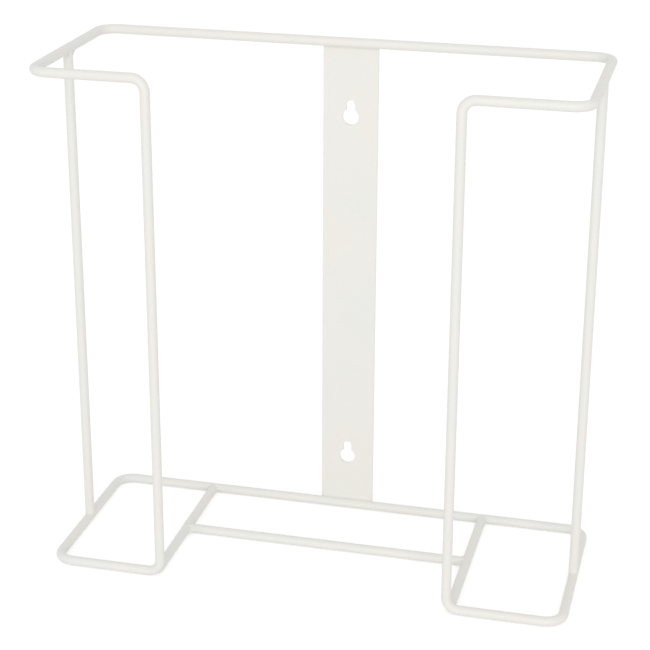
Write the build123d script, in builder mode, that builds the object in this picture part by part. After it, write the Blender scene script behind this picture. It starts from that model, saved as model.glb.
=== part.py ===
from build123d import *
import os

os.makedirs("parts", exist_ok=True)

# Wall holder for two glove boxes standing on edge, bent and welded from coated steel wire.
# Millimetres. +X is to the right as seen from the room, +Y points into the wall, +Z is up.
# The origin is the middle of the footprint, under the bottom loop.

# ---- Driving dimensions ----------------------------------------------------------------

wire_d = 4.8  # wire with its coating
bay_width = 257.2  # clear room for a box between the side rails
bay_depth = 94.2  # clear room for a box between the front wires and the back bars
bay_height = 252.2  # clear height between the bottom and top rails
leg_gap = 143.2  # opening for the hand between the two front legs

fold_r = 9.0  # bends where a rail turns a corner of the bay, on the wire's centre line
shoulder_r = 6.5  # bend at the top of each front leg
foot_r = 6.5  # bend at the bottom of each front leg

head_front_weld = 3.0  # leg of the weld fillet, along both wires, in front of an upright's head
head_back_weld = 6.0  # the same behind an upright's head, where the bead is laid heavier
floor_wire_weld = 1.8  # the same on each side of a floor wire's back end
mid_rail_weld = 3.2  # the same on each side of both ends of the middle floor rail
weld_width = 2.6  # across both wires
weld_dip = 0.5  # how far each fillet's curve runs down into the wires at its toes
weld_sink = 0.3  # how deep a flat is pressed into the wire loop by what is welded behind it
flank_stop = 0.8  # how far a butted wire's flanks stop short of the other wire's centre line
end_chamfer = 0.7  # on a floor wire's cut front end

strip_width = 28.6
strip_thickness = 1.2
strip_lap = 1.5  # how far the strip runs past the centre line of each back bar
strip_edge_chamfer = 0.3  # broken outer edges of the strip

keyhole_pitch = 190.5  # between the two keyholes
keyhole_height = 27.7  # lower keyhole's round entry, above the bottom bar's centre line
entry_d = 8.4  # round entry that the screw's head passes
slot_width = 4.4  # slot that the screw's shank slides up
slot_rise = 6.4  # from the middle of the entry up to where the shank rests

# ---- Places worked out from them ---------------------------------------------------------

wire_r = wire_d / 2
overall_depth = bay_depth + 2 * wire_d - weld_sink + strip_thickness

side_x = bay_width / 2 + wire_r
leg_x = leg_gap / 2 + wire_r
front_y = -overall_depth / 2 + wire_r
back_y = front_y + bay_depth + wire_d
mid_y = (front_y + back_y) / 2
bottom_z = wire_r
top_z = bottom_z + bay_height + wire_d

strip_front_y = back_y + wire_r - weld_sink
floor_wire_front_y = front_y + wire_r - weld_sink
floor_wire_x = leg_x + foot_r * (1 - 2**-0.5)  # meets the middle of the foot bend


# ---- Mounting strip: flat sheet with two keyholes, behind both back bars -----------------

with BuildPart() as mounting_strip:
    with BuildSketch(Plane.XZ.offset(-strip_front_y)):
        with Locations((0, (bottom_z + top_z) / 2)):
            Rectangle(strip_width, top_z - bottom_z + 2 * strip_lap)
        for entry_z in (bottom_z + keyhole_height, bottom_z + keyhole_height + keyhole_pitch):
            with Locations((0, entry_z)):
                Circle(entry_d / 2, mode=Mode.SUBTRACT)
            with Locations((0, entry_z + slot_rise / 2)):
                SlotCenterToCenter(slot_rise, slot_width, rotation=90, mode=Mode.SUBTRACT)
    extrude(amount=-strip_thickness)
    front_and_back = mounting_strip.faces().filter_by(Axis.Y)
    outlines = [edge for face in front_and_back for edge in face.outer_wire().edges()]
    chamfer(outlines, strip_edge_chamfer)


# ---- Wire loop: one closed wire with twelve bends ----------------------------------------
# Seen from above it is the same C-shape at the top and at the bottom, and the two front legs
# join the ends of one C to the ends of the other.

right_half = [
    ((side_x, back_y, top_z), fold_r),
    ((side_x, front_y, top_z), fold_r),
    ((leg_x, front_y, top_z), shoulder_r),
    ((leg_x, front_y, bottom_z), foot_r),
    ((side_x, front_y, bottom_z), fold_r),
    ((side_x, back_y, bottom_z), fold_r),
]
left_half = [((-x, y, z), bend_r) for (x, y, z), bend_r in reversed(right_half)]
loop_corners = [corner for corner, bend_r in right_half + left_half]
loop_bends = [bend_r for corner, bend_r in right_half + left_half]

with BuildPart() as wire_loop:
    with BuildLine():
        loop_path = FilletPolyline(*loop_corners, radius=loop_bends, close=True)
    with BuildSketch(Plane(origin=loop_path @ 0, z_dir=loop_path % 0)):
        Circle(wire_r)
    sweep(path=loop_path)
    # flats pressed into its back: under the strip, and where the floor wires' front ends sit
    flat_align = (Align.CENTER, Align.MIN, Align.CENTER)
    with Locations((0, strip_front_y, bottom_z), (0, strip_front_y, top_z)):
        Box(strip_width, weld_sink, wire_d, align=flat_align, mode=Mode.SUBTRACT)
    with Locations([(x, floor_wire_front_y, bottom_z) for x in (-floor_wire_x, floor_wire_x)]):
        Box(wire_d, weld_sink, wire_d, align=flat_align, mode=Mode.SUBTRACT)


# ---- Straight wires butt-welded between the others ---------------------------------------


def butted_wire(crossing, length, weld_legs=None):
    """Make a plain wire that butts against another, with a weld fillet in each of its corners.

    The crossing plane lies on the centre line of the wire that is met, with X along it and Z
    along the butted wire. The met wire is still to be cut away from the result. The weld_legs
    are those of the fillets on the -X and the +X side; None leaves the corners bare.
    """
    both_wires = Plane(crossing.origin, x_dir=crossing.x_dir, z_dir=-crossing.y_dir)
    with BuildPart() as wire:
        with BuildSketch(crossing.offset(flank_stop)):
            Circle(wire_r)
        extrude(amount=length - flank_stop)
        if weld_legs:
            with BuildSketch(both_wires):
                for weld_leg, direction in zip(weld_legs, (-1, 1)):
                    weld_reach = wire_r + weld_leg
                    with Locations((direction * weld_reach / 2, weld_reach / 2)):
                        Rectangle(weld_reach, weld_reach)
                    with Locations((direction * weld_reach, weld_reach)):
                        Circle(weld_leg + weld_dip, mode=Mode.SUBTRACT)
            extrude(amount=weld_width / 2, both=True)
    return wire.part


sides = {"left": -1, "right": 1}
uprights = {}
floor_wires = {}

for side, sign in sides.items():
    # Upright, between the middles of the two side rails
    half_height = (top_z - bottom_z) / 2
    foot = Plane(origin=(sign * side_x, mid_y, bottom_z), x_dir=(0, 1, 0), z_dir=(0, 0, 1))
    head = Plane(origin=(sign * side_x, mid_y, top_z), x_dir=(0, 1, 0), z_dir=(0, 0, -1))
    lower_half = butted_wire(foot, half_height)
    upper_half = butted_wire(head, half_height, (head_front_weld, head_back_weld))
    with BuildPart() as upright:
        add(lower_half)
        add(upper_half)
        add(wire_loop.part, mode=Mode.SUBTRACT)
    uprights[side] = upright.part

    # Floor wire, from the bottom back bar to the foot bend of the leg
    heel = Plane(origin=(sign * floor_wire_x, back_y, bottom_z), x_dir=(1, 0, 0), z_dir=(0, -1, 0))
    whole_wire = butted_wire(heel, back_y - floor_wire_front_y, 2 * (floor_wire_weld,))
    with BuildPart() as floor_wire:
        add(whole_wire)
        front_end = floor_wire.faces().sort_by(Axis.Y)[0]
        chamfer(front_end.edges(), end_chamfer)
        add(wire_loop.part, mode=Mode.SUBTRACT)
    floor_wires[side] = floor_wire.part

# Middle floor rail, between the two floor wires
left_joint = Plane(origin=(-floor_wire_x, mid_y, bottom_z), x_dir=(0, 1, 0), z_dir=(1, 0, 0))
left_half_rail = butted_wire(left_joint, floor_wire_x, 2 * (mid_rail_weld,))
with BuildPart() as mid_floor_rail:
    add(left_half_rail)
    mirror(about=Plane.YZ)
    for floor_wire_part in floor_wires.values():
        add(floor_wire_part, mode=Mode.SUBTRACT)


# ---- Labels and files --------------------------------------------------------------------

mounting_strip.part.label = "mounting_strip"
export_step(mounting_strip.part, "parts/mounting_strip.step")

wire_loop.part.label = "wire_loop"
export_step(wire_loop.part, "parts/wire_loop.step")

mid_floor_rail.part.label = "mid_floor_rail"
export_step(mid_floor_rail.part, "parts/mid_floor_rail.step")

for side in sides:
    uprights[side].label = f"{side}_upright"
    export_step(uprights[side], f"parts/{side}_upright.step")
    floor_wires[side].label = f"{side}_floor_wire"
    export_step(floor_wires[side], f"parts/{side}_floor_wire.step")
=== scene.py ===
import bmesh
import bpy
import math
from mathutils import Matrix, Vector


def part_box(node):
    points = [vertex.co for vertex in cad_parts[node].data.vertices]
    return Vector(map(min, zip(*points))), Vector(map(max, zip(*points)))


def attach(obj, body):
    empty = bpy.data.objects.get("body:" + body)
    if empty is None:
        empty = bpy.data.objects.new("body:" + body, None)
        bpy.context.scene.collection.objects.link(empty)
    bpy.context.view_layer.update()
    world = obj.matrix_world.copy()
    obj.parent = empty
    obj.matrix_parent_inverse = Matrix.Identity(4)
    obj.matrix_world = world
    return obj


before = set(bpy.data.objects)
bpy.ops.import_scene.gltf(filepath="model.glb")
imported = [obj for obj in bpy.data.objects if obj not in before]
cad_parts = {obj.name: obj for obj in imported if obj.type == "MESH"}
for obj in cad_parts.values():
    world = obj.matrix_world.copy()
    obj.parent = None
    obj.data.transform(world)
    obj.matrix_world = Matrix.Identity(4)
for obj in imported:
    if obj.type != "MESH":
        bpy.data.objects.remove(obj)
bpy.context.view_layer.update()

scene = bpy.context.scene
scene.view_settings.view_transform = "Standard"


# Camera: a long lens, a little above the holder and to its right, rolled by a quarter of a
# degree. Its right and forward directions are unit vectors.
camera_place = Vector((0.2019, -0.8170, 0.4562))
camera_right = Vector((0.97030, 0.24185, 0.00437))
camera_forward = Vector((-0.22362, 0.90378, -0.36494))

camera_data = bpy.data.cameras.new("camera")
camera_data.sensor_width = 36.0
camera_data.lens = 99.71
camera = bpy.data.objects.new("camera", camera_data)
camera_up = camera_right.cross(camera_forward)
camera_turn = Matrix((camera_right, camera_up, -camera_forward)).transposed()
camera.matrix_world = Matrix.Translation(camera_place) @ camera_turn.to_4x4()
scene.collection.objects.link(camera)
scene.camera = camera


# Powder coat: the finish on every part of the holder. Off-white powder is baked on, flows
# into a faint orange peel, and lies a little warmer in some places than in others.
drift_low = 0.38  # noise value up to which the coat has its cool colour
drift_high = 0.62  # noise value from which it has its warm colour
haze_spread = 0.16  # roughness between the glossiest and the dullest patch
peel_depth = 0.0001

powder_coat = bpy.data.node_groups.new("powder_coat", "ShaderNodeTree")
for socket_name, direction, socket_type in (
    ("Object Place", "INPUT", "NodeSocketVector"),
    ("Cool Colour", "INPUT", "NodeSocketColor"),
    ("Warm Colour", "INPUT", "NodeSocketColor"),
    ("Roughness", "INPUT", "NodeSocketFloat"),
    ("Peel Height", "INPUT", "NodeSocketFloat"),
    ("Colour", "OUTPUT", "NodeSocketColor"),
    ("Roughness", "OUTPUT", "NodeSocketFloat"),
    ("Normal", "OUTPUT", "NodeSocketVector"),
):
    powder_coat.interface.new_socket(socket_name, in_out=direction, socket_type=socket_type)

group_nodes = powder_coat.nodes
group_links = powder_coat.links
coat_in = group_nodes.new("NodeGroupInput")
coat_out = group_nodes.new("NodeGroupOutput")


def coat_noise(scale, detail):
    """Add a noise over the piece to the coat, and give its output."""
    noise = group_nodes.new("ShaderNodeTexNoise")
    noise.inputs["Scale"].default_value = scale
    noise.inputs["Detail"].default_value = detail
    group_links.new(coat_in.outputs["Object Place"], noise.inputs["Vector"])
    return noise.outputs["Fac"]


drift_spread = group_nodes.new("ShaderNodeMapRange")
drift_spread.inputs["From Min"].default_value = drift_low
drift_spread.inputs["From Max"].default_value = drift_high
colour_mix = group_nodes.new("ShaderNodeMix")
colour_mix.data_type = "RGBA"
group_links.new(coat_noise(scale=22.0, detail=3.0), drift_spread.inputs["Value"])
group_links.new(drift_spread.outputs["Result"], colour_mix.inputs["Factor"])
group_links.new(coat_in.outputs["Cool Colour"], colour_mix.inputs["A"])
group_links.new(coat_in.outputs["Warm Colour"], colour_mix.inputs["B"])
group_links.new(colour_mix.outputs["Result"], coat_out.inputs["Colour"])

haze_rise = group_nodes.new("ShaderNodeMath")
haze_rise.operation = "MULTIPLY_ADD"
haze_rise.inputs[1].default_value = haze_spread
haze_centred = group_nodes.new("ShaderNodeMath")
haze_centred.operation = "SUBTRACT"
haze_centred.inputs[1].default_value = haze_spread / 2
group_links.new(coat_noise(scale=160.0, detail=4.0), haze_rise.inputs[0])
group_links.new(coat_in.outputs["Roughness"], haze_rise.inputs[2])
group_links.new(haze_rise.outputs["Value"], haze_centred.inputs[0])
group_links.new(haze_centred.outputs["Value"], coat_out.inputs["Roughness"])

peel_bump = group_nodes.new("ShaderNodeBump")
peel_bump.inputs["Distance"].default_value = peel_depth
group_links.new(coat_noise(scale=700.0, detail=2.0), peel_bump.inputs["Height"])
group_links.new(coat_in.outputs["Peel Height"], peel_bump.inputs["Strength"])
group_links.new(peel_bump.outputs["Normal"], coat_out.inputs["Normal"])


def coated_finish(name, cool_colour, warm_colour, roughness, peel_height):
    """Make a material of the powder coat with its own colours, gloss and orange peel."""
    finish = bpy.data.materials.new(name)
    finish.use_nodes = True
    nodes = finish.node_tree.nodes
    links = finish.node_tree.links
    shader = nodes["Principled BSDF"]
    shader.inputs["IOR"].default_value = 1.46
    place = nodes.new("ShaderNodeTexCoord")
    coat = nodes.new("ShaderNodeGroup")
    coat.node_tree = powder_coat
    coat.inputs["Cool Colour"].default_value = (*cool_colour, 1.0)
    coat.inputs["Warm Colour"].default_value = (*warm_colour, 1.0)
    coat.inputs["Roughness"].default_value = roughness
    coat.inputs["Peel Height"].default_value = peel_height
    links.new(place.outputs["Object"], coat.inputs["Object Place"])
    links.new(coat.outputs["Colour"], shader.inputs["Base Color"])
    links.new(coat.outputs["Roughness"], shader.inputs["Roughness"])
    links.new(coat.outputs["Normal"], shader.inputs["Normal"])
    return finish


# Wires: one closed loop with twelve bends, two uprights, two floor wires and the rail
# between them, all of the same round steel wire, welded and then powder coated.
wire_finish = coated_finish(
    "coated_wire",
    cool_colour=(0.83, 0.838, 0.80),
    warm_colour=(0.852, 0.83, 0.78),
    roughness=0.42,
    peel_height=0.5,
)
wire_nodes = (
    "wire_loop",
    "left_upright",
    "right_upright",
    "left_floor_wire",
    "right_floor_wire",
    "mid_floor_rail",
)
for node_name in wire_nodes:
    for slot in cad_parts[node_name].material_slots:
        slot.material = wire_finish


# Coat pools: where a wire butts against another, the coating gathers in the crease round its
# saddle-shaped end. Each pool is a pair of hollow crescents that run out at the wire's flanks.
wire_radius = 0.0024
pool_sink = 0.00004  # how far a pool's edges lie under the surface of both wires
pool_root_depth = 0.0004  # how far its root lies inside, under those edges
pool_turn_steps = 24
pool_hollow_steps = 6
pool_crease = math.radians(40)  # edges bent further than this stay sharp
foot_pool_radius = 0.0013
head_pool_radius = 0.0010
heel_pool_radius = 0.0009
rail_pool_radius = 0.0010

x_way = Vector((1, 0, 0))
y_way = Vector((0, 1, 0))
z_way = Vector((0, 0, 1))
loop_low, loop_high = (Vector(corner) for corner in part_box("wire_loop"))
rail_low, rail_high = (Vector(corner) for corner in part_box("mid_floor_rail"))
bottom_z = loop_low.z + wire_radius
top_z = loop_high.z - wire_radius
back_y = loop_high.y - wire_radius
mid_y = (rail_low.y + rail_high.y) / 2


def smooth_piece(name, piece_mesh, crease, finish):
    """Make an object of a closed bmesh, shaded smooth but for its creases."""
    bmesh.ops.recalc_face_normals(piece_mesh, faces=piece_mesh.faces[:])
    for face in piece_mesh.faces:
        face.smooth = True
    for edge in piece_mesh.edges:
        edge.smooth = edge.calc_face_angle(0) < crease
    piece_data = bpy.data.meshes.new(name)
    piece_mesh.to_mesh(piece_data)
    piece_mesh.free()
    piece_data.materials.append(finish)
    piece = bpy.data.objects.new(name, piece_data)
    scene.collection.objects.link(piece)
    return piece


def coat_pool(name, crossing, met_way, butted_way, pool_radius):
    """Round the crease where a wire along butted_way meets one along met_way at the crossing.

    Each crescent is a grid wrapped into a tube. Its columns go half a turn round the butted
    wire, and its rows go over the hollow from that wire to the met one and back by the root.
    """
    across_way = butted_way.cross(met_way)
    edge_radius = wire_radius - pool_sink
    hollow_reach = edge_radius + pool_radius
    root_reach = edge_radius - pool_root_depth
    rows = pool_hollow_steps + 2
    pool_mesh = bmesh.new()
    for side in (-1, 1):
        sheet = bmesh.ops.create_grid(
            pool_mesh, x_segments=pool_turn_steps, y_segments=rows, size=0.5
        )
        for vert in sheet["verts"]:
            turn = math.pi * vert.co.x
            out, flank = math.cos(turn), math.sin(turn)
            row = round((vert.co.y + 0.5) * rows) % rows  # the last row closes on the first
            if row <= pool_hollow_steps:
                to_butted = Vector((-out, -flank, 0))
                to_met = Vector((0, -flank, -out))
                ray = to_butted.slerp(to_met, row / pool_hollow_steps, to_butted)
                hollow_middle = hollow_reach * Vector((out, flank, out))
                along, across, up = hollow_middle + pool_radius * ray
            else:
                along, across, up = root_reach * out, edge_radius * flank, root_reach * out
            vert.co = crossing + side * along * met_way + across * across_way + up * butted_way
    bmesh.ops.remove_doubles(pool_mesh, verts=pool_mesh.verts[:], dist=1e-6)

    pool = smooth_piece(name, pool_mesh, pool_crease, wire_finish)
    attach(pool, "root")


for side_name, inward_way in (("left", x_way), ("right", -x_way)):
    upright_low, upright_high = (Vector(corner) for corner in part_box(side_name + "_upright"))
    floor_low, floor_high = (Vector(corner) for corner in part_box(side_name + "_floor_wire"))
    upright_x = (upright_low.x + upright_high.x) / 2
    floor_x = (floor_low.x + floor_high.x) / 2
    foot = Vector((upright_x, mid_y, bottom_z))
    head = Vector((upright_x, mid_y, top_z))
    heel = Vector((floor_x, back_y, bottom_z))
    rail_end = Vector((floor_x, mid_y, bottom_z))
    coat_pool(side_name + "_upright_foot_pool", foot, y_way, z_way, foot_pool_radius)
    coat_pool(side_name + "_upright_head_pool", head, y_way, -z_way, head_pool_radius)
    coat_pool(side_name + "_floor_wire_pool", heel, x_way, -y_way, heel_pool_radius)
    coat_pool(side_name + "_rail_end_pool", rail_end, y_way, inward_way, rail_pool_radius)


# Mounting strip: flat steel sheet with two keyholes, welded behind the two back bars and
# coated with them. Its broad face shows the orange peel a little more than the wires do.
strip_finish = coated_finish(
    "coated_strip",
    cool_colour=(0.830, 0.832, 0.793),
    warm_colour=(0.857, 0.832, 0.783),
    roughness=0.48,
    peel_height=0.6,
)
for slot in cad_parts["mounting_strip"].material_slots:
    slot.material = strip_finish


# Strip beads: weld and coating that fill the groove where the strip lies against each back
# bar, on the side towards the bay. Each is a hollow fillet that tapers off at both ends.
hollow_radius = 0.0016
hollow_steps = 12
bead_root_depth = 0.0001  # into the strip
bead_root_rise = 0.0009  # from the bar's middle
bead_taper_length = 0.0014
bead_taper = 0.35  # an end's size beside that of the whole bead
bead_crease = math.radians(35)  # edges bent further than this stay sharp
strip_low, strip_high = (Vector(corner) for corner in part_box("mounting_strip"))


def extrude_end(bead_mesh, end, step):
    """Draw the faces of an end out along the bar, and give the new end."""
    edges = [edge for face in end for edge in face.edges]
    drawn = bmesh.ops.extrude_face_region(bead_mesh, geom=end + edges)["geom"]
    moved = [part for part in drawn if isinstance(part, bmesh.types.BMVert)]
    bmesh.ops.translate(bead_mesh, vec=(step, 0, 0), verts=moved)
    return [part for part in drawn if isinstance(part, bmesh.types.BMFace)]


def strip_bead(name, bar_z, inward):
    """Fill the groove on one side of a back bar, above it (inward 1) or below it (-1)."""
    reach = strip_low.y - hollow_radius - back_y
    span = wire_radius + hollow_radius
    rise = math.sqrt(span**2 - reach**2)
    first_x = strip_low.x + bead_taper_length
    length = strip_high.x - strip_low.x - 2 * bead_taper_length
    hollow_middle = Vector((first_x, back_y + reach, bar_z + inward * rise))
    root_place = Vector((first_x, strip_low.y + bead_root_depth, bar_z + inward * bead_root_rise))

    bead_mesh = bmesh.new()
    strip_rim = bead_mesh.verts.new(hollow_middle + Vector((0, hollow_radius, 0)))
    swept = bmesh.ops.spin(
        bead_mesh,
        geom=[strip_rim],
        cent=hollow_middle,
        axis=(1, 0, 0),
        angle=-inward * math.acos(-reach / span),
        steps=hollow_steps,
    )
    bar_rim = swept["geom_last"][0]
    root = bead_mesh.verts.new(root_place)
    bead_mesh.edges.new((strip_rim, root))
    bead_mesh.edges.new((bar_rim, root))
    bmesh.ops.edgenet_fill(bead_mesh, edges=bead_mesh.edges[:])

    first_end = bead_mesh.faces[:]
    last_end = extrude_end(bead_mesh, first_end, length)
    for end, step in ((first_end, -bead_taper_length), (last_end, bead_taper_length)):
        tip = extrude_end(bead_mesh, end, step)
        bmesh.ops.scale(
            bead_mesh,
            vec=(1, bead_taper, bead_taper),
            verts=[vert for face in tip for vert in face.verts],
            space=Matrix.Translation(-root_place),
        )

    bead = smooth_piece(name, bead_mesh, bead_crease, strip_finish)
    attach(bead, "root")


strip_bead("strip_bead_bottom", bottom_z, 1)
strip_bead("strip_bead_top", top_z, -1)


# Studio: a plain white floor under a white surround. The surround lights the holder at about
# three quarters of full strength, and one soft lamp in front brings it up to its true colour.
floor_reach = 6.0
floor_colour = (0.7, 0.7, 0.7, 1.0)
floor_glow_on_holder = 0.18
floor_glow_in_view = 0.46
surround_on_holder = 0.76
surround_in_view = 1.0
white = (1.0, 1.0, 1.0, 1.0)


def light_strength(tree, on_holder, in_view):
    """Give a strength that differs between what lights the holder and what shows as backdrop."""
    path = tree.nodes.new("ShaderNodeLightPath")
    seen = tree.nodes.new("ShaderNodeMath")
    seen.operation = "MAXIMUM"
    seen_through = tree.nodes.new("ShaderNodeMath")
    seen_through.operation = "MAXIMUM"
    strength = tree.nodes.new("ShaderNodeMapRange")
    strength.inputs["To Min"].default_value = on_holder
    strength.inputs["To Max"].default_value = in_view
    tree.links.new(path.outputs["Is Camera Ray"], seen.inputs[0])
    tree.links.new(path.outputs["Is Glossy Ray"], seen.inputs[1])
    tree.links.new(seen.outputs["Value"], seen_through.inputs[0])
    tree.links.new(path.outputs["Is Transmission Ray"], seen_through.inputs[1])
    tree.links.new(seen_through.outputs["Value"], strength.inputs["Value"])
    return strength.outputs["Result"]


floor_data = bpy.data.meshes.new("floor")
floor_mesh = bmesh.new()
bmesh.ops.create_grid(floor_mesh, x_segments=1, y_segments=1, size=floor_reach)
floor_mesh.to_mesh(floor_data)
floor_mesh.free()
floor = bpy.data.objects.new("floor", floor_data)
scene.collection.objects.link(floor)

floor_finish = bpy.data.materials.new("floor_white")
floor_finish.use_nodes = True
floor_tree = floor_finish.node_tree
floor_tree.nodes.clear()
diffuse = floor_tree.nodes.new("ShaderNodeBsdfDiffuse")
diffuse.inputs["Color"].default_value = floor_colour
glow = floor_tree.nodes.new("ShaderNodeEmission")
glow.inputs["Color"].default_value = white
layers = floor_tree.nodes.new("ShaderNodeAddShader")
output = floor_tree.nodes.new("ShaderNodeOutputMaterial")
glow_strength = light_strength(floor_tree, floor_glow_on_holder, floor_glow_in_view)
floor_tree.links.new(glow_strength, glow.inputs["Strength"])
floor_tree.links.new(diffuse.outputs["BSDF"], layers.inputs[0])
floor_tree.links.new(glow.outputs["Emission"], layers.inputs[1])
floor_tree.links.new(layers.outputs["Shader"], output.inputs["Surface"])
floor_data.materials.append(floor_finish)

world = bpy.data.worlds.new("surround")
scene.world = world
world.use_nodes = True
background = world.node_tree.nodes["Background"]
background.inputs["Color"].default_value = white
surround_strength = light_strength(world.node_tree, surround_on_holder, surround_in_view)
world.node_tree.links.new(surround_strength, background.inputs["Strength"])

lamp_place = Vector((0.50, -2.70, 0.95))
holder_middle = Vector((0.0, 0.0, 0.13))
lamp_data = bpy.data.lights.new("front_lamp", "AREA")
lamp_data.shape = "SQUARE"
lamp_data.size = 2.0
lamp_data.energy = 23.5
lamp = bpy.data.objects.new("front_lamp", lamp_data)
lamp.location = lamp_place
lamp.rotation_euler = (holder_middle - lamp_place).to_track_quat("-Z", "Y").to_euler()
scene.collection.objects.link(lamp)
